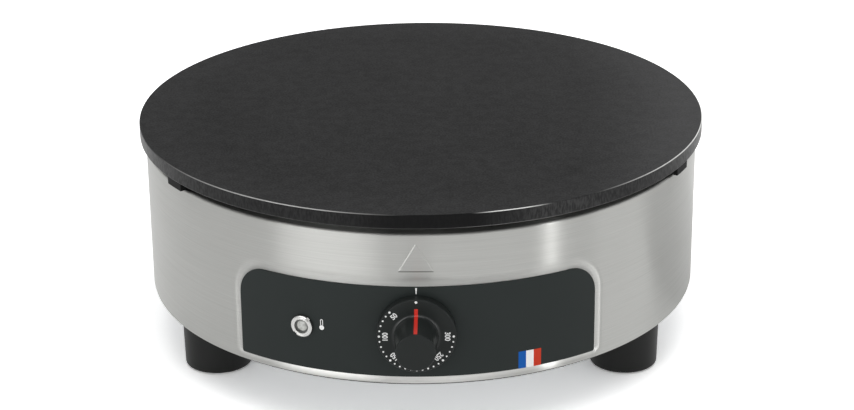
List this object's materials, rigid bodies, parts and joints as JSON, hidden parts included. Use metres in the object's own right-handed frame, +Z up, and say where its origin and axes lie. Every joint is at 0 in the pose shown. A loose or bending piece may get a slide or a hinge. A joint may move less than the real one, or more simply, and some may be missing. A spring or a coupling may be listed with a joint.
{
  "type": "electric crepe maker",
  "caption": "Round cast-iron crepe griddle on a brushed steel drum with a curved front control panel, a turning temperature knob, a pilot lamp and three feet.",
  "frame": {"origin": "on the worktop, straight below the centre of the cooking plate", "axes": "+Z up through the plate, the control panel and knob face -Y, +X to the right as seen from above with the panel nearest"},
  "size_m": [0.3999, 0.456, 0.16],
  "materials": {
    "seasoned_iron": "machined and seasoned, dark satin",
    "brushed_steel": "brushed round the drum",
    "black_panel": "satin printed panel",
    "knob_plastic": "fine satin thermoset",
    "black_plastic": "moulded, fine texture",
    "heatproof_pad": "moulded, dull",
    "red_plastic": "moulded insert",
    "black_rubber": "matt",
    "chrome": "bright plated",
    "lamp_lens": "pale translucent",
    "lamp_plastic": "natural nylon",
    "zinc_steel": "bright zinc plated",
    "spring_steel": "plain",
    "galvanised_sheet": "galvanised sheet",
    "brass": "plain",
    "copper": "drawn tube",
    "element_sheath": "oxidised alloy sheath",
    "ceramic": "unglazed ceramic",
    "insulation": "mineral wool blanket",
    "gland_plastic": "moulded nylon",
    "wire_brown": "silicone covered",
    "wire_black": "silicone covered",
    "wire_blue": "silicone covered",
    "wire_green_yellow": "silicone covered",
    "wire_grey": "silicone covered",
    "wire_glass_braid": "glass braid sleeve"
  },
  "bodies": {
    "housing": {"cooking_plate": "seasoned_iron", "plate_rest_pads": "heatproof_pad", "drum_shell": "brushed_steel", "clinch_nuts": "zinc_steel", "base_plate": "galvanised_sheet", "base_screws": "zinc_steel", "foot_front_left": "black_plastic", "foot_front_right": "black_plastic", "foot_rear": "black_plastic", "foot_pads": "black_rubber", "foot_screws": "zinc_steel", "foot_nuts": "zinc_steel", "control_fascia": "black_panel", "thermostat_bracket": "galvanised_sheet", "thermostat_case": "ceramic", "thermostat_cover": "galvanised_sheet", "thermostat_screws": "zinc_steel", "thermostat_terminals": "brass", "capillary_tube": "copper", "sensor_bulb": "copper", "bulb_clip": "spring_steel", "lamp_bezel": "chrome", "lamp_lens": "lamp_lens", "lamp_body": "lamp_plastic", "lamp_nut": "zinc_steel", "heating_element_outer": "element_sheath", "heating_element_inner": "element_sheath", "element_seals": "ceramic", "element_pins": "spring_steel", "element_clamp_disc": "galvanised_sheet", "clamp_studs": "zinc_steel", "clamp_nuts": "zinc_steel", "pan_nuts": "zinc_steel", "insulation_blanket": "insulation", "insulation_pan": "galvanised_sheet", "tie_rod": "zinc_steel", "tie_rod_washer": "zinc_steel", "tie_rod_nut": "zinc_steel", "terminal_block": "lamp_plastic", "terminal_block_screws": "zinc_steel", "terminal_clamps": "brass", "earth_stud": "brass", "earth_nuts": "brass", "gland_body": "gland_plastic", "gland_dome_nut": "gland_plastic", "gland_seal": "black_rubber", "gland_locknut": "gland_plastic", "wire_live": "wire_brown", "wire_heater": "wire_black", "wire_neutral": "wire_blue", "wire_earth": "wire_green_yellow", "lamp_wires": "wire_grey", "element_links": "wire_glass_braid"},
    "knob": {"knob": "knob_plastic", "knob_pointer": "red_plastic", "knob_clip": "spring_steel", "thermostat_spindle": "spring_steel"},
    "adjuster": {"thermostat_adjuster": "brass"}
  },
  "joints": [
    {"name": "knob_turn", "type": "hinge", "parent": "housing", "child": "knob", "pos_m": [0, -0.2, 0.0765], "axis": [0, 1, 0], "range_deg": [0, 270]},
    {"name": "adjuster_slide", "type": "slide", "parent": "housing", "child": "adjuster", "axis": [0, -1, 0], "range_m": [0, 0.0008]}
  ],
  "couplings": [
    {"joint": "adjuster_slide", "follows": "knob_turn", "m_per_rad": 0.00015915}
  ]
}
